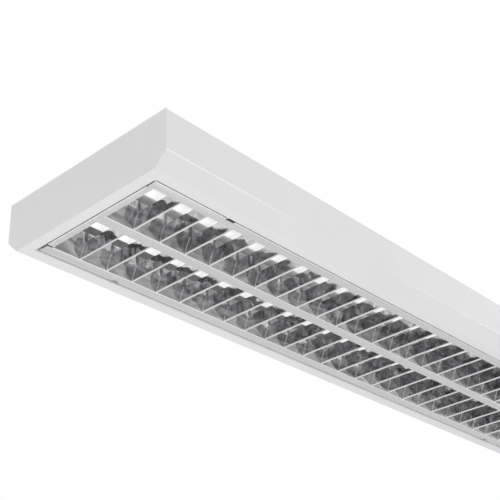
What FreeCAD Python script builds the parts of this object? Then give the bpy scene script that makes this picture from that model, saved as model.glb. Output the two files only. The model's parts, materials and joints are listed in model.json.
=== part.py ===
import FreeCAD, Part
import math
import os
import Sketcher

# Surface mounted fluorescent fixture for two T8 tubes, with a double parabolic louvre.
# Millimetres, +Z up. The origin is the centre of the top face, which lies on the ceiling.
# The front end is at -X, the near long side at -Y. The louvre hangs on hinges on the far side.

doc = FreeCAD.newDocument("fluorescent_fixture")
sheet = doc.addObject("Spreadsheet::Sheet", "Sizes")
nodes = {}


# Sizes and expressions

class Size:
    """A number with the expression that ties it to the spreadsheet."""

    def __init__(self, value, text):
        self.value = value
        self.text = text

    def join(self, other, sign, swap=False):
        a, b = (of(other), self) if swap else (self, of(other))
        work = {"+": lambda: a.value + b.value, "-": lambda: a.value - b.value,
                "*": lambda: a.value * b.value, "/": lambda: a.value / b.value}
        return Size(work[sign](), f"({a.text} {sign} {b.text})")

    def __add__(self, other):
        return self.join(other, "+")

    def __radd__(self, other):
        return self.join(other, "+", True)

    def __sub__(self, other):
        return self.join(other, "-")

    def __rsub__(self, other):
        return self.join(other, "-", True)

    def __mul__(self, other):
        return self.join(other, "*")

    def __rmul__(self, other):
        return self.join(other, "*", True)

    def __truediv__(self, other):
        return self.join(other, "/")

    def __neg__(self):
        return Size(-self.value, f"(0 - {self.text})")


def of(number):
    """Any number as a Size."""
    if isinstance(number, Size):
        return number
    text = f"{number:.9g}"
    return Size(float(number), text if number >= 0 else f"(0{text})")


def root(size):
    return Size(math.sqrt(size.value), f"sqrt({size.text})")


def whole(size):
    return Size(math.floor(size.value + 0.5), f"round({size.text})")


def size(alias, value):
    """Writes a driving dimension into the next row of the spreadsheet."""
    row = len(sheet_rows) + 1
    sheet_rows.append(alias)
    sheet.set(f"A{row}", alias)
    sheet.set(f"B{row}", str(value))
    sheet.setAlias(f"B{row}", alias)
    return Size(value, f"Sizes.{alias}")


sheet_rows = []

# Housing
end_room = size("end_room", 25.3)
width = size("width", 300)
height = size("height", 78)
steel = size("steel", 0.8)
bend = size("bend", 1.0)
chamfer = size("chamfer", 19)
rim = size("rim", 17.5)
rim_return = size("rim_return", 12)
end_rim = size("end_rim", 18)
end_bend = size("end_bend", 1.6)
seam = size("seam", 0.1)
tab_reach = size("tab_reach", 10)
tab_width = size("tab_width", 30)
tab_place = size("tab_place", 112)
slot_end = size("slot_end", 225)
slot_pitch_y = size("slot_pitch_y", 200)
slot_width = size("slot_width", 6.5)
slot_length = size("slot_length", 14)
cable_hole = size("cable_hole", 20)
cable_place = size("cable_place", 90)
grommet_bore = size("grommet_bore", 13)
grommet_skin = size("grommet_skin", 0.6)
grommet_flange = size("grommet_flange", 26)
grommet_lip = size("grommet_lip", 2)
rivet_shank = size("rivet_shank", 3.2)
rivet_head = size("rivet_head", 6)
rivet_tail = size("rivet_tail", 1.2)
rivet_tail_width = size("rivet_tail_width", 4.8)
screw_slot = size("screw_slot", 1.0)
fit = size("fit", 0.05)
hole_depth = size("hole_depth", 4)

# Louvre
louvre_gap = size("louvre_gap", 1.2)
louvre_recess = size("louvre_recess", 2.5)
foil = size("foil", 0.5)
flange = size("flange", 16.5)
upstand = size("upstand", 5)
end_strip = size("end_strip", 12.6)
spine_strip = size("spine_strip", 17)
wing_rise = size("wing_rise", 30)
wing_radius = size("wing_radius", 80)
wing_sink = size("wing_sink", 28.6)
blade_pitch = size("blade_pitch", 45.6)
blade_foil = size("blade_foil", 0.4)
blade_fold = size("blade_fold", 1.8)
blade_rise = size("blade_rise", 20.5)
blade_radius = size("blade_radius", 400)
blade_sink = size("blade_sink", 31.5)
blade_gap = size("blade_gap", 0.3)
blade_tab_low = size("blade_tab_low", 11)
blade_tab_high = size("blade_tab_high", 17)
blade_tab_reach = size("blade_tab_reach", 1.8)
blade_tab_play = size("blade_tab_play", 0.15)
notch_place = size("notch_place", 150)
notch_length = size("notch_length", 24)
hinge_notch = size("hinge_notch", 8)
hinge_clear = size("hinge_clear", 1)
notch_depth = size("notch_depth", 4)
side_short = size("side_short", 1.6)

# Hinges and catches
hinge_rise = size("hinge_rise", 1.5)
hinge_pin = size("hinge_pin", 2.4)
pin_fit = size("pin_fit", 0.025)
pin_overhang = size("pin_overhang", 0.5)
hinge_ear = size("hinge_ear", 1.2)
hinge_side_gap = size("hinge_side_gap", 0.3)
hinge_cheek = size("hinge_cheek", 1.2)
hinge_cheek_width = size("hinge_cheek_width", 3.8)
hinge_plate = size("hinge_plate", 18)
hinge_rivet = size("hinge_rivet", 2.4)
hinge_rivet_place = size("hinge_rivet_place", 6)
rivet_dome = size("rivet_dome", 0.6)
leaf_base = size("leaf_base", 9)
spring_steel = size("spring_steel", 0.5)
spring_width = size("spring_width", 12)
spring_nose = size("spring_nose", 1.15)
spring_stand = size("spring_stand", 0.8)
spring_leg = size("spring_leg", 8)
clip_play = size("clip_play", 0.05)
lug_width = size("lug_width", 8)

# Lamps and lampholders
lamp_length = size("lamp_length", 1199.4)
lamp_glass = size("lamp_glass", 25.4)
lamp_wall = size("lamp_wall", 0.8)
lamp_cap_length = size("lamp_cap_length", 9)
lamp_cap_wall = size("lamp_cap_wall", 0.3)
lamp_drop = size("lamp_drop", 35.5)
pin_pitch = size("pin_pitch", 12.7)
pin_diameter = size("pin_diameter", 2.35)
pin_reach = size("pin_reach", 7.1)
holder_gap = size("holder_gap", 0.4)
holder_depth = size("holder_depth", 17.8)
holder_width = size("holder_width", 24)
holder_above = size("holder_above", 26.5)
rotor_diameter = size("rotor_diameter", 18)
rotor_depth = size("rotor_depth", 8)
rotor_slot = size("rotor_slot", 2.9)
rotor_play = size("rotor_play", 0.08)
rotor_web = size("rotor_web", 0.6)
bracket_steel = size("bracket_steel", 1.0)
bracket_width = size("bracket_width", 150)
bracket_flange = size("bracket_flange", 15)
bracket_rivet_place = size("bracket_rivet_place", 20)

# Control gear
cover_room = size("cover_room", 5.45)
cover_height = size("cover_height", 31.2)
cover_end = size("cover_end", 34.7)
cover_flange = size("cover_flange", 12)
cover_screw_end = size("cover_screw_end", 45)
screw_shank = size("screw_shank", 3.5)
screw_head = size("screw_head", 7)
screw_head_height = size("screw_head_height", 2.4)
ballast_length = size("ballast_length", 150)
ballast_width = size("ballast_width", 41)
ballast_height = size("ballast_height", 28)
ballast_core_place = size("ballast_core_place", 20)
ballast_foot = size("ballast_foot", 8)
ballast_terminal = size("ballast_terminal", 14)
ballast_terminal_width = size("ballast_terminal_width", 30)
ballast_port_pitch = size("ballast_port_pitch", 15)
ballast_base = size("ballast_base", 1.5)
ballast_start = size("ballast_start", 185)
capacitor_diameter = size("capacitor_diameter", 28)
capacitor_length = size("capacitor_length", 76)
capacitor_place = size("capacitor_place", -70)
clip_width = size("clip_width", 12)
clip_steel = size("clip_steel", 0.8)
terminal_length = size("terminal_length", 34)
terminal_width = size("terminal_width", 22)
terminal_height = size("terminal_height", 16)
terminal_place = size("terminal_place", 140)
terminal_pitch = size("terminal_pitch", 10)
terminal_screw = size("terminal_screw", 5)
terminal_port = size("terminal_port", 9.6)
earth_place = size("earth_place", 175)
starter_diameter = size("starter_diameter", 21.5)
starter_length = size("starter_length", 24)
starter_place = size("starter_place", 430)
starter_play = size("starter_play", 0.08)
socket_wall = size("socket_wall", 3)
socket_depth = size("socket_depth", 8)
socket_height = size("socket_height", 14)
knob_pitch = size("knob_pitch", 12.7)
knob_diameter = size("knob_diameter", 4.8)
knob_height = size("knob_height", 4)
knob_room = size("knob_room", 0.5)
starter_rim = size("starter_rim", 0.5)
starter_round = size("starter_round", 1.5)
wire_port = size("wire_port", 3.6)

# Places that several pieces share
lamp_end = lamp_length / 2
half_length = lamp_end + end_room
half_width = width / 2
plate_inside = half_length - steel
opening_y = half_width - chamfer - rim
opening_x = half_length - end_rim
rim_edge = half_width - chamfer
louvre_y = opening_y - louvre_gap
louvre_x = opening_x - louvre_gap
louvre_z = louvre_recess - height
flange_y = louvre_y - flange
cell_x = louvre_x - end_strip
spine_y = spine_strip / 2
row_y = (flange_y + spine_y) / 2
blade_count = whole(cell_x * 2 / blade_pitch) - 1
blade_step = cell_x * 2 / (blade_count + 1)
hinge_y = louvre_y - notch_depth / 2
hinge_z = louvre_z + foil + hinge_rise
notch_x = half_length - notch_place
lamp_z = -lamp_drop
holder_face = lamp_end + holder_gap
holder_back = holder_face + holder_depth
cover_half = row_y - lamp_glass / 2 - cover_room
cover_reach = lamp_end - cover_end
cover_z = -(steel + cover_height)
ballast_place = ballast_start + ballast_length / 2
under_top = -steel
hinge_rivet_z = rim_return / 2 - height
leaf_seat = louvre_z + foil
leaf_edge = louvre_y - notch_depth - seam * 2


# Ways of making things

def bind(item, **expressions):
    """Ties properties of an object to expressions; a double underscore stands for a dot."""
    for name, value in expressions.items():
        item.setExpression(name.replace("__", "."), of(value).text)


def place(item, x, y, z):
    item.Placement.Base = FreeCAD.Vector(of(x).value, of(y).value, of(z).value)
    bind(item, Placement__Base__x=x, Placement__Base__y=y, Placement__Base__z=z)


def box(name, low, high):
    """A block between two corners."""
    item = doc.addObject("Part::Box", name)
    bind(item, Length=high[0] - low[0], Width=high[1] - low[1], Height=high[2] - low[2])
    place(item, *low)
    return item


def block(name, x, y, z):
    """A block from three pairs of limits."""
    return box(name, [of(pair[0]) for pair in (x, y, z)], [of(pair[1]) for pair in (x, y, z)])


AXES = {"x": FreeCAD.Rotation(FreeCAD.Vector(0, 1, 0), 90),
        "y": FreeCAD.Rotation(FreeCAD.Vector(1, 0, 0), -90),
        "z": FreeCAD.Rotation()}


def rod(name, axis, start, radius, reach):
    """A cylinder that starts at a point and runs along +X, +Y or +Z."""
    item = doc.addObject("Part::Cylinder", name)
    bind(item, Radius=radius, Height=reach)
    item.Placement.Rotation = AXES[axis]
    place(item, *start)
    return item


def cone(name, start, low_radius, high_radius, reach):
    """A cone that stands on a point, along +Z."""
    item = doc.addObject("Part::Cone", name)
    bind(item, Radius1=low_radius, Radius2=high_radius, Height=reach)
    place(item, *start)
    return item


def group(kind, name, shapes):
    item = doc.addObject(kind, name)
    item.Links = shapes
    return item


def compound(name, items):
    return group("Part::Compound", name, items)


def fuse(name, items):
    item = doc.addObject("Part::MultiFuse", name)
    item.Shapes = items
    item.Refine = True
    return item


def cut(name, base, tools):
    item = doc.addObject("Part::Cut", name)
    item.Base = base
    item.Tool = tools[0] if len(tools) == 1 else compound(name + "_tools", tools)
    return item


def common(name, base, tool):
    item = doc.addObject("Part::Common", name)
    item.Base = base
    item.Tool = tool
    return item


def node(label, item):
    """Names an object as one sub-part of the fixture."""
    item.Label = label
    nodes[label] = item
    return item


def body_of(name):
    body = doc.addObject("PartDesign::Body", name)
    body.AllowCompound = True
    return body


def outline(body, plane, offset, corners, arcs=None):
    """A closed sketch; arcs holds the centre and radius of the edge that follows a corner."""
    arcs = arcs or {}
    sketch = body.newObject("Sketcher::SketchObject", body.Name + "_outline")
    sketch.AttachmentSupport = [(next(f for f in body.Origin.OriginFeatures if f.Role == plane), "")]
    sketch.MapMode = "FlatFace"
    sketch.AttachmentOffset.Base.z = of(offset).value
    bind(sketch, AttachmentOffset__Base__z=offset)
    points = [FreeCAD.Vector(of(u).value, of(v).value, 0) for u, v in corners]
    count = len(points)
    ends = []
    for i, here in enumerate(points):
        there = points[(i + 1) % count]
        if i not in arcs:
            sketch.addGeometry(Part.LineSegment(here, there))
            ends.append((1, 2))
            continue
        centre = FreeCAD.Vector(arcs[i][0][0].value, arcs[i][0][1].value, 0)
        radius = arcs[i][1]
        angles = [math.atan2(p.y - centre.y, p.x - centre.x) for p in (here, there)]
        turn = (angles[1] - angles[0]) % (2 * math.pi)
        forward = turn < math.pi
        if not forward:
            angles.reverse()
        circle = Part.Circle(centre, FreeCAD.Vector(0, 0, 1), radius.value)
        sketch.addGeometry(Part.ArcOfCircle(circle, angles[0], angles[1]))
        ends.append((1, 2) if forward else (2, 1))
    for i in range(count):
        j = (i + 1) % count
        sketch.addConstraint(Sketcher.Constraint("Coincident", i, ends[i][1], j, ends[j][0]))
    for i, (u, v) in enumerate(corners):
        for kind, distance in (("DistanceX", of(u)), ("DistanceY", of(v))):
            spot = sketch.addConstraint(
                Sketcher.Constraint(kind, -1, 1, i, ends[i][0], distance.value))
            sketch.setExpression(f"Constraints[{spot}]", distance.text)
    for i, (_, radius) in arcs.items():
        spot = sketch.addConstraint(Sketcher.Constraint("Radius", i, radius.value))
        sketch.setExpression(f"Constraints[{spot}]", radius.text)
    return sketch


def pad(body, sketch, reach):
    feature = body.newObject("PartDesign::Pad", body.Name + "_pad")
    feature.Profile = sketch
    feature.Length = of(reach).value
    bind(feature, Length=reach)
    return feature


def profile(name, plane, start, reach, corners, arcs=None):
    """A body padded from one outline."""
    body = body_of(name)
    pad(body, outline(body, plane, start, corners, arcs), reach)
    return body


def across(name, low, high, corners, arcs=None):
    """A body whose XZ outline runs in Y from low to high."""
    return profile(name, "XZ_Plane", -of(high), high - low, corners, arcs)


def strip_outline(path, thickness):
    """The outline of a folded strip: the path, and the same path moved to its right by the thickness."""
    values = [FreeCAD.Vector(of(u).value, of(v).value, 0) for u, v in path]
    normals = []
    for a, b in zip(values, values[1:]):
        way = (b - a).normalize()
        normals.append(FreeCAD.Vector(way.y, -way.x, 0))
    back = []
    for i, (u, v) in enumerate(path):
        before = normals[max(i - 1, 0)]
        after = normals[min(i, len(normals) - 1)]
        shift = (before + after) * (1 / (1 + before.dot(after)))
        back.append((of(u) + thickness * round(shift.x, 9), of(v) + thickness * round(shift.y, 9)))
    return list(path) + back[::-1]


def round_edges(body, direction, spots, radius):
    """Fillets the edges along a direction that lie at the given pairs of the other two coordinates."""
    doc.recompute()
    base = body.Tip
    others = [i for i in range(3) if i != direction]
    found = []
    for number, edge in enumerate(base.Shape.Edges, 1):
        a, b = edge.Vertexes[0].Point, edge.Vertexes[-1].Point
        if any(abs(a[i] - b[i]) > 1e-4 for i in others):
            continue
        if any(abs(a[others[0]] - of(u).value) + abs(a[others[1]] - of(v).value) < 1e-3 for u, v in spots):
            found.append(f"Edge{number}")
    feature = body.newObject("PartDesign::Fillet", body.Name + "_bend")
    feature.Base = (base, found)
    feature.Radius = of(radius).value
    bind(feature, Radius=radius)
    return feature


def chord(radius, height):
    """Half the width of a circle at a height above its centre."""
    return root(radius * radius - height * height)


# Housing

def mirrored(pairs):
    return [(-u, v) for u, v in reversed(pairs)]


def end_path(end, pairs):
    """A path in XZ given for the rear end, or its mirror for the front end."""
    return pairs if end > 0 else mirrored(pairs)


def span(end, near, far):
    """Limits along one axis, measured outwards from the middle towards one end."""
    return (of(near), of(far)) if end > 0 else (-of(far), -of(near))


def end_rod(name, end, near, far, y, z, radius):
    """A rod along X between two distances from the middle, at one end."""
    low, high = span(end, near, far)
    return rod(name, "x", (low, of(y), of(z)), radius, high - low)


def flipped(corners, arcs):
    """An outline and its arcs, mirrored in the first of its two axes."""
    return [(-u, v) for u, v in corners], {i: ((-c[0], c[1]), r) for i, (c, r) in arcs.items()}


def top_hole(name, spot, radius):
    """The tool for a hole in the top sheet and in what lies right under it."""
    return rod(name, "z", (spot[0], spot[1], -hole_depth), radius, hole_depth * 2)


def tab_spots():
    return [(end * (plate_inside - tab_reach / 2), side * tab_place) for end in ENDS for side in SIDES]


def bracket_spots():
    x = holder_back + bracket_steel - bracket_flange / 2
    return [(end * x, side * bracket_rivet_place) for end in ENDS for side in SIDES]


def cover_spots():
    x, y = cover_reach - cover_screw_end, cover_half + cover_flange / 2
    return [(end * x, side * y) for end in ENDS for side in SIDES]


def ballast_spots():
    reach = ballast_length / 2 - ballast_foot
    return [(end * ballast_place + side * reach, of(0)) for end in ENDS for side in SIDES]


def hinge_spots():
    return [end * notch_x for end in ENDS]


def ceiling_slot(x, y):
    """An elongated screw hole along X through the top."""
    straight = (slot_length - slot_width) / 2
    half = slot_width / 2
    return fuse("ceiling_slot", [
        top_hole("slot_end", (x - straight, y), half),
        top_hole("slot_end", (x + straight, y), half),
        block("slot_middle", (x - straight, x + straight), (y - half, y + half), (-hole_depth, hole_depth))])


def make_channel():
    """One folded sheet: top, sides, slanted lower edges, rims and their up-turned returns."""
    side = [(-opening_y, rim_return - height), (-opening_y, -height), (-rim_edge, -height),
            (-half_width, chamfer - height), (-half_width, of(0))]
    path = side + mirrored(side)
    corners = strip_outline(path, steel)
    body = profile("channel", "YZ_Plane", -plate_inside, plate_inside * 2, corners)
    count = len(path)
    round_edges(body, 0, corners[1:count - 1], bend + steel)
    round_edges(body, 0, corners[count + 1:-1], bend)
    tools = [block("rim_corner", span(end, opening_x, half_length), (-rim_edge, rim_edge),
                   (-height - steel, rim_return + steel - height)) for end in ENDS]
    for spot in tab_spots() + bracket_spots():
        tools.append(top_hole("rivet_hole", spot, rivet_head / 2 + fit))
    for spot in cover_spots() + ballast_spots() + [(earth_place, of(0)), clip_spot()]:
        tools.append(top_hole("screw_hole", spot, screw_shank / 2 + fit))
    for end in ENDS:
        for side_of in SIDES:
            tools.append(ceiling_slot(end * (half_length - slot_end), side_of * slot_pitch_y / 2))
    tools.append(top_hole("cable_hole", (cable_place, of(0)), cable_hole / 2 + fit))
    for x in hinge_spots():
        for side_of in SIDES:
            spot = (x + side_of * hinge_rivet_place, opening_y - steel, hinge_rivet_z)
            tools.append(rod("hinge_rivet_hole", "y", spot, hinge_rivet / 2 + fit, steel * 3))
    node("housing_channel", cut("channel_holes", body, tools))


def make_end_cap(end, label):
    """An end plate with its soft bottom bend, rim, return and inner tabs; the rim's corners are flat."""
    skirt = [(half_length, chamfer - height), (half_length, -height), (opening_x, -height),
             (opening_x, rim_return - height)]
    corners = strip_outline(end_path(end, skirt), steel)
    reach = rim_edge - seam
    fold = across(label + "_skirt", -opening_y, opening_y, corners)
    round_edges(fold, 1, corners[1:3], end_bend + steel)
    round_edges(fold, 1, corners[5:7], end_bend)
    folds = [fold]
    flat = strip_outline(end_path(end, skirt[:3]), steel)
    for side_of, name in ROWS:
        low, high = span(side_of, opening_y, reach)
        corner = across(f"{label}_{name}_corner", low, high, flat)
        round_edges(corner, 1, flat[1:2], end_bend + steel)
        round_edges(corner, 1, flat[4:5], end_bend)
        folds.append(corner)
    top = chamfer - height
    plate = profile(label + "_plate", "YZ_Plane", span(end, plate_inside, half_length)[0], steel, [
        (-half_width, of(0)), (-half_width, top), (-rim_edge, -height), (-reach, -height), (-reach, top),
        (reach, top), (reach, -height), (rim_edge, -height), (half_width, top), (half_width, of(0))])
    tabs = []
    inward = span(end, plate_inside - tab_reach, plate_inside)
    for side_of in SIDES:
        y = side_of * tab_place
        tab = block("top_tab", inward, (y - tab_width / 2, y + tab_width / 2), (-steel * 2, under_top))
        spot = (end * (plate_inside - tab_reach / 2), y)
        tabs.append(cut("top_tab_hole", tab, [top_hole("tab_hole", spot, rivet_shank / 2 + fit)]))
        wall = half_width - steel if side_of > 0 else steel * 2 - half_width
        tabs.append(block("side_tab", inward, (wall - steel, wall), (top + tab_reach / 2, -tab_reach)))
    node(label, fuse(label + "_whole", folds + [plate] + tabs))


def flush_rivet(name, x, y, grip):
    """A rivet whose head fills a hole in the top sheet and whose tail closes under a grip."""
    bottom = under_top - grip
    return fuse(name, [
        rod(name + "_head", "z", (x, y, under_top), rivet_head / 2, steel),
        rod(name + "_shank", "z", (x, y, bottom), rivet_shank / 2, grip),
        cone(name + "_tail", (x, y, bottom - rivet_tail), rivet_shank / 2, rivet_tail_width / 2,
             rivet_tail)])


def screw_up(name, x, y, seat):
    """A pan head screw that goes up from its seat into the top sheet."""
    stem = rod(name + "_stem", "z", (x, y, seat), screw_shank / 2, -seat - seam)
    head = rod(name + "_head", "z", (x, y, seat - screw_head_height), screw_head / 2, screw_head_height)
    slot = block(name + "_slot", (x - screw_head, x + screw_head), (y - screw_slot / 2, y + screw_slot / 2),
                 (seat - screw_head_height - seam, seat - screw_head_height / 2))
    return cut(name, fuse(name + "_blank", [stem, head]), [slot])


def make_fasteners():
    node("end_cap_rivets", compound("tab_rivets", [
        flush_rivet("tab_rivet", x, y, steel) for x, y in tab_spots()]))
    node("bracket_rivets", compound("holder_rivets", [
        flush_rivet("holder_rivet", x, y, bracket_steel) for x, y in bracket_spots()]))
    node("gear_cover_screws", compound("cover_screws", [
        screw_up("cover_screw", x, y, -steel * 2) for x, y in cover_spots()]))
    node("ballast_screws", compound("gear_screws", [
        screw_up("ballast_screw", x, y, under_top - ballast_base) for x, y in ballast_spots()]))
    node("earth_screw", screw_up("earth", earth_place, of(0), under_top))
    node("capacitor_screw", screw_up("clip_screw", *clip_spot(), under_top - clip_steel))


# Lampholders and lamps

def make_bracket(end, label):
    """An angle across both lamps that carries a pair of lampholders."""
    back = holder_back + bracket_steel
    foot = lamp_z - holder_width / 4
    path = end_path(end, [(back - bracket_flange, under_top), (back, under_top), (back, foot)])
    half = bracket_width / 2
    blank = across(label + "_angle", -half, half, strip_outline(path, bracket_steel))
    holes = [top_hole("bracket_hole", spot, rivet_shank / 2 + fit)
             for spot in bracket_spots() if spot[0].value * end > 0]
    node(label, cut(label + "_holes", blank, holes))


def make_holder(end, side_of, label):
    """A lampholder with a round rotor seat and the slot by which the lamp pins come in."""
    y = side_of * row_y
    half = holder_width / 2
    centre = (y, lamp_z)
    low, high = span(end, holder_face, holder_back)
    blank = profile(label + "_block", "YZ_Plane", low, high - low, [
        (y - half, lamp_z + holder_above), (y - half, lamp_z), (y, lamp_z - half), (y + half, lamp_z),
        (y + half, lamp_z + holder_above)], {1: (centre, half), 2: (centre, half)})
    deep = holder_face + rotor_depth + seam
    seat = end_rod("rotor_seat", end, holder_face - seam, deep, y, lamp_z, rotor_diameter / 2 + rotor_play)
    slot = block("pin_slot", span(end, holder_face - seam, deep), (y - rotor_slot / 2, y + rotor_slot / 2),
                 (lamp_z - holder_width, lamp_z))
    node(label, cut(label + "_cut", blank, [seat, slot]))


def make_lamp(side_of, label):
    """A T8 tube with its two caps, four pins and the rotors that turn with it."""
    y = side_of * row_y
    glass = lamp_glass / 2
    tube_end = lamp_end - lamp_cap_length / 4
    tube = rod(label + "_outside", "x", (-tube_end, y, lamp_z), glass, tube_end * 2)
    hollow = rod(label + "_inside", "x", (-tube_end, y, lamp_z), glass - lamp_wall, tube_end * 2)
    node(label + "_tube", cut(label + "_glass", tube, [hollow]))
    caps, pins, rotors = [], [], []
    for end in ENDS:
        start = lamp_end - lamp_cap_length
        shell = end_rod("cap_shell", end, start, lamp_end, y, lamp_z, glass + fit + lamp_cap_wall)
        bore = end_rod("cap_bore", end, start, lamp_end - lamp_wall, y, lamp_z, glass + fit)
        caps.append(cut("lamp_cap", shell, [bore]))
        for pin_side in SIDES:
            pins.append(end_rod("lamp_pin", end, lamp_end, lamp_end + pin_reach,
                                y + pin_side * pin_pitch / 2, lamp_z, pin_diameter / 2))
        face, back = holder_face, holder_face + rotor_depth
        disc = end_rod("rotor_disc", end, face, back, y, lamp_z, rotor_diameter / 2)
        half = rotor_slot / 2
        slot = block("rotor_slot_cut", span(end, face - seam, back - rotor_web),
                     (y - rotor_diameter, y + rotor_diameter), (lamp_z - half, lamp_z + half))
        rotors.append(cut("rotor", disc, [slot]))
    node(label + "_caps", compound(label + "_cap_pair", caps))
    node(label + "_pins", compound(label + "_pin_set", pins))
    node(label + "_rotors", compound(label + "_rotor_pair", rotors))


# Control gear under its cover

def make_gear_cover():
    """A shallow trough on the centre line that hides the gear and carries the starters."""
    half = cover_half
    lip = -steel * 2
    path = [(half + cover_flange, lip), (half, lip), (half, cover_z), (-half, cover_z), (-half, lip),
            (-half - cover_flange, lip)]
    corners = strip_outline(path, steel)
    blank = profile("cover", "YZ_Plane", -cover_reach, cover_reach * 2, corners)
    round_edges(blank, 0, corners[1:5], bend + steel)
    round_edges(blank, 0, corners[7:11], bend)
    holes = [rod("starter_hole", "z", (end * starter_place, of(0), cover_z - steel),
                 starter_diameter / 2 + starter_rim, steel * 3) for end in ENDS]
    holes += [top_hole("cover_hole", spot, screw_shank / 2 + fit) for spot in cover_spots()]
    node("gear_cover", cut("cover_holes", blank, holes))


def make_ballast(end, name):
    """A wound ballast: a base plate with a foot at each end, the core below it and a terminal block."""
    x = end * ballast_place
    half = ballast_length / 2
    base_z = under_top - ballast_base
    side = ballast_width / 2
    base = block(name + "_base", (x - half, x + half), (-side, side), (base_z, under_top))
    start = x - half + ballast_core_place
    low = x + half - ballast_foot * 2 - ballast_terminal
    core = block(name + "_core", (start, low), (ballast_base - side, side - ballast_base),
                 (under_top - ballast_height, base_z))
    holes = [top_hole("ballast_hole", spot, screw_shank / 2 + fit)
             for spot in ballast_spots() if abs(spot[0].value - x.value) < half.value]
    node(name, cut(name + "_holes", fuse(name + "_blank", [base, core]), holes))
    wide = ballast_terminal_width / 2
    terminal = block(name + "_terminal", (low, low + ballast_terminal), (-wide, wide),
                     (base_z - ballast_height / 2, base_z))
    port_z = base_z - ballast_height / 4
    ports = [rod("ballast_port", "x", (low + ballast_terminal / 2, step * ballast_port_pitch / 2, port_z),
                 wire_port / 2, ballast_terminal) for step in SIDES]
    node(name + "_terminal", cut(name + "_ports", terminal, ports))


def clip_spot():
    return (capacitor_place, capacitor_diameter / 2 + screw_head / 2 + clip_steel)


def make_capacitor():
    """A round capacitor held along the top by a band clip."""
    radius = capacitor_diameter / 2
    z = under_top - clip_steel - fit - radius
    half = capacitor_length / 2
    can = rod("capacitor_can", "x", (capacitor_place - half, of(0), z), radius, capacitor_length)
    neck = rod("capacitor_neck", "x", (capacitor_place + half, of(0), z), radius / 2, clip_width / 2)
    node("capacitor", fuse("capacitor_whole", [can, neck]))
    low = capacitor_place - clip_width / 2
    band = rod("clip_outside", "x", (low, of(0), z), radius + fit + clip_steel, clip_width)
    x, y = clip_spot()
    foot = block("clip_foot", (low, low + clip_width), (of(0), y + screw_head / 2 + clip_steel),
                 (under_top - clip_steel, under_top))
    whole_clip = fuse("clip_blank", [band, foot])
    bore = rod("clip_bore", "x", (low - steel, of(0), z), radius + fit, clip_width + steel * 2)
    hole = top_hole("clip_hole", (x, y), screw_shank / 2 + fit)
    node("capacitor_clip", cut("clip_holes", whole_clip, [bore, hole]))


def make_terminal_block():
    """A three pole block for the supply, with a screw in each pole."""
    x, half = terminal_place, terminal_length / 2
    bottom = under_top - terminal_height
    blank = block("terminal_blank", (x - half, x + half), (-terminal_width / 2, terminal_width / 2),
                  (bottom, under_top))
    tools, screws = [], []
    for pole in (-1, 0, 1):
        px = x + pole * terminal_pitch
        well = (px, of(0), bottom - seam)
        tools.append(rod("screw_well", "z", well, terminal_screw / 2, terminal_height / 2))
        port = (px, -terminal_width, bottom + terminal_port)
        tools.append(rod("pole_port", "y", port, wire_port / 2, terminal_width * 2))
        screw = rod("pole_screw", "z", (px, of(0), bottom + terminal_height / 4),
                    terminal_screw / 2 - fit, terminal_height / 4 - seam)
        groove = block("pole_slot", (px - terminal_screw, px + terminal_screw),
                       (-screw_slot / 2, screw_slot / 2), (bottom, bottom + terminal_height / 4 + screw_slot))
        screws.append(cut("pole_screw_cut", screw, [groove]))
    node("terminal_block", cut("terminal_cut", blank, tools))
    node("terminal_screws", compound("pole_screws", screws))


def make_grommet():
    """A rubber cable grommet, closed by a thin skin that the supply cable pierces."""
    lip_z = under_top - grommet_lip
    lip = rod("grommet_lip_disc", "z", (cable_place, of(0), lip_z), grommet_flange / 2, grommet_lip)
    neck = rod("grommet_neck", "z", (cable_place, of(0), under_top), cable_hole / 2, steel - seam)
    well = rod("grommet_well", "z", (cable_place, of(0), lip_z - seam), grommet_bore / 2,
               grommet_lip + steel - grommet_skin)
    node("cable_grommet", cut("grommet_cut", fuse("grommet_blank", [lip, neck]), [well]))


def make_starter(end, name):
    """A starter that twists in its socket above a round hole in the gear cover."""
    x, radius = end * starter_place, starter_diameter / 2
    floor_z = cover_z + steel
    hollow = radius + starter_play
    socket = rod(name + "_socket_body", "z", (x, of(0), floor_z), hollow + socket_wall, socket_height)
    seat = rod("socket_seat", "z", (x, of(0), floor_z - steel), hollow, socket_depth + steel)
    well = rod("socket_well", "z", (x, of(0), floor_z), (knob_pitch + knob_diameter) / 2 + knob_room,
               socket_depth + knob_height + knob_room)
    node(name + "_socket", cut(name + "_socket_cut", socket, [seat, well]))
    top = floor_z + socket_depth - seam
    can = rod(name + "_can", "z", (x, of(0), top - starter_length), radius, starter_length)
    can_round = doc.addObject("Part::Fillet", name + "_round")
    can_round.Base = can
    doc.recompute()
    edge = next(i for i, e in enumerate(can.Shape.Edges, 1)
                if e.Closed and abs(e.CenterOfMass.z - can.Shape.BoundBox.ZMin) < 1e-6)
    can_round.Edges = [(edge, starter_round.value, starter_round.value)]
    node(name, can_round)
    node(name + "_contacts", compound(name + "_knobs", [
        rod("starter_knob", "z", (x + side_of * knob_pitch / 2, of(0), top), knob_diameter / 2, knob_height)
        for side_of in SIDES]))


# Louvre

def wing_lean(rise):
    """How far a long mirror wall leans over at a height above the louvre's bottom."""
    return chord(wing_radius, wing_sink) - chord(wing_radius, wing_sink + rise)


def blade_lean(rise):
    """How far a face of a blade leans over at a height above the louvre's bottom."""
    return chord(blade_radius, blade_sink) - chord(blade_radius, blade_sink + rise)


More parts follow.
